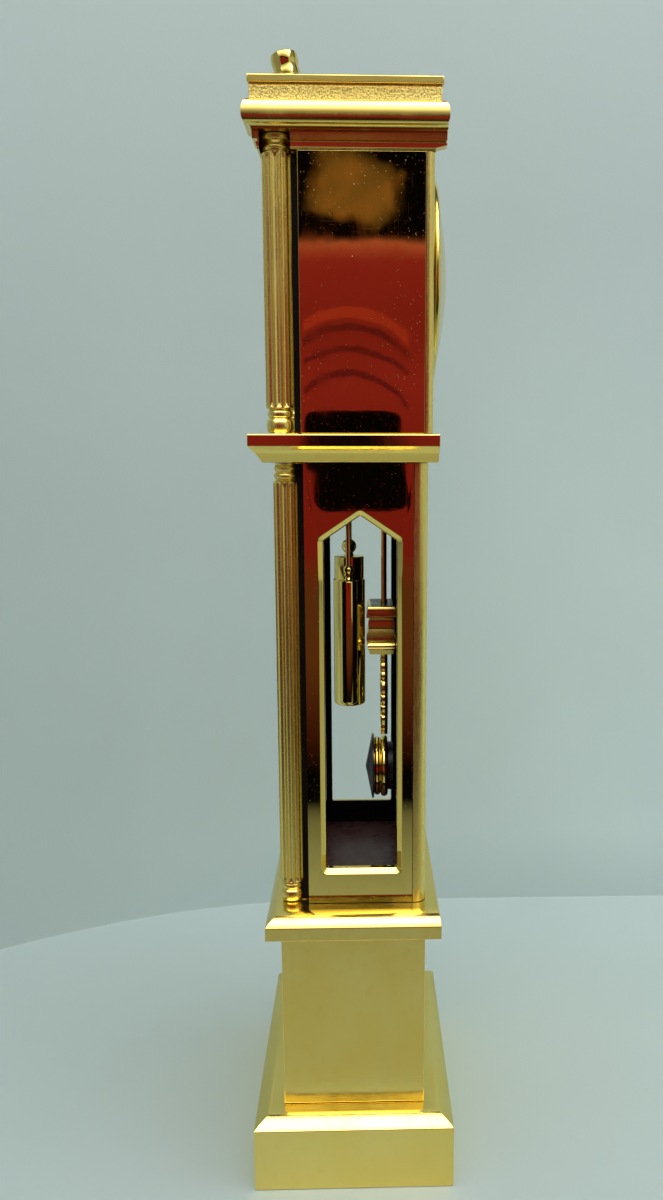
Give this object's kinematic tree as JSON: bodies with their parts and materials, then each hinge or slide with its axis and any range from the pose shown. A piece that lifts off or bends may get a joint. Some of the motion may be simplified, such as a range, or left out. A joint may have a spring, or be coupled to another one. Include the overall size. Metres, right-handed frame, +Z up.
{
  "type": "miniature longcase clock",
  "caption": "Miniature gold-plated longcase clock with fluted columns, arched crown, side windows, weights and a swinging pendulum.",
  "frame": {"origin": "centre of the footprint of the bottom plinth, on the surface it stands on", "axes": "+Z up; the dial faces -Y; +X is to the right when the dial is looked at from the front"},
  "size_m": [0.048, 0.0338, 0.1879],
  "materials": {
    "satin_gold": "satin gold plate",
    "polished_gold": "mirror-polished gold plate",
    "cast_gold": "gold plate over a grainy casting",
    "felt": "green felt",
    "steel": "satin",
    "dark_lining": "dark lacquer",
    "dial_white": "matt enamel",
    "hand_black": "satin black",
    "crystal": "clear",
    "movement_plastic": "fine moulded",
    "wheel_brass": "machined",
    "copper_wire": "enamelled copper wire",
    "board_green": "solder mask"
  },
  "bodies": {
    "case": {"base_felt": "felt", "base_plinth": "satin_gold", "base_screw_left": "steel", "base_screw_right": "steel", "pedestal_die": "satin_gold", "trunk_base_moulding": "satin_gold", "trunk_side_left": "polished_gold", "trunk_side_right": "polished_gold", "trunk_back": "satin_gold", "trunk_front": "polished_gold", "trunk_floor": "dark_lining", "trunk_column_left": "satin_gold", "trunk_column_right": "satin_gold", "seat_board": "wheel_brass", "pendulum_pin": "steel", "middle_shelf": "polished_gold", "hood_side_left": "polished_gold", "hood_side_right": "polished_gold", "hood_back": "satin_gold", "hood_front": "polished_gold", "hood_column_left": "satin_gold", "hood_column_right": "satin_gold", "cornice": "polished_gold", "crown": "cast_gold", "finial": "polished_gold", "dial_bezel": "polished_gold", "dial_crystal": "crystal", "dial_plate": "dial_white", "movement_case": "movement_plastic", "movement_cover": "movement_plastic", "stepper_coil": "copper_wire", "circuit_board": "board_green"},
    "minute_train": {"minute_hand": "hand_black", "centre_wheel": "wheel_brass"},
    "hour_train": {"hour_hand": "hand_black", "hour_wheel": "wheel_brass"},
    "setting_train": {"minute_wheel": "wheel_brass", "setting_knob": "movement_plastic"},
    "third_train": {"third_wheel": "wheel_brass"},
    "back_cover": {"back_cover": "polished_gold"},
    "battery": {"coin_battery": "steel"},
    "pendulum": {"pendulum_rod": "polished_gold", "pendulum_crosspiece": "polished_gold", "pendulum_lyre": "satin_gold", "pendulum_bob": "polished_gold"},
    "weight_left": {"weight_left": "polished_gold"},
    "weight_centre": {"weight_centre": "polished_gold"},
    "weight_right": {"weight_right": "polished_gold"}
  },
  "joints": [
    {"name": "minute_turn", "type": "hinge", "parent": "case", "child": "minute_train", "pos_m": [0, -0.007, 0.1515], "axis": [0, 1, 0], "continuous": true},
    {"name": "hour_turn", "type": "hinge", "parent": "case", "child": "hour_train", "pos_m": [0, -0.007, 0.1515], "axis": [0, 1, 0], "continuous": true},
    {"name": "setting_turn", "type": "hinge", "parent": "case", "child": "setting_train", "pos_m": [0, 0, 0.1465], "axis": [0, 1, 0], "continuous": true},
    {"name": "third_turn", "type": "hinge", "parent": "case", "child": "third_train", "pos_m": [-0.005, -0.003, 0.1515], "axis": [0, 1, 0], "continuous": true},
    {"name": "cover_pull", "type": "slide", "parent": "case", "child": "back_cover", "axis": [0, 1, 0], "range_m": [0, 0.025]},
    {"name": "battery_lift", "type": "slide", "parent": "case", "child": "battery", "axis": [0, 1, 0], "range_m": [0, 0.006]},
    {"name": "pendulum_swing", "type": "hinge", "parent": "case", "child": "pendulum", "pos_m": [0, 0.00555, 0.1165], "axis": [0, 1, 0], "range_deg": [-5, 5]},
    {"name": "weight_left_swing", "type": "hinge", "parent": "case", "child": "weight_left", "pos_m": [-0.0085, -0.0006, 0.1196], "axis": [0, 1, 0], "range_deg": [-2, 2]},
    {"name": "weight_centre_swing", "type": "hinge", "parent": "case", "child": "weight_centre", "pos_m": [0, -0.0006, 0.1196], "axis": [0, 1, 0], "range_deg": [-2, 2]},
    {"name": "weight_right_swing", "type": "hinge", "parent": "case", "child": "weight_right", "pos_m": [0.0085, -0.0006, 0.1196], "axis": [0, 1, 0], "range_deg": [-2, 2]}
  ],
  "couplings": [
    {"joint": "hour_turn", "follows": "minute_turn", "ratio": 0.083333},
    {"joint": "setting_turn", "follows": "minute_turn", "ratio": -0.33333},
    {"joint": "third_turn", "follows": "minute_turn", "ratio": -8}
  ]
}
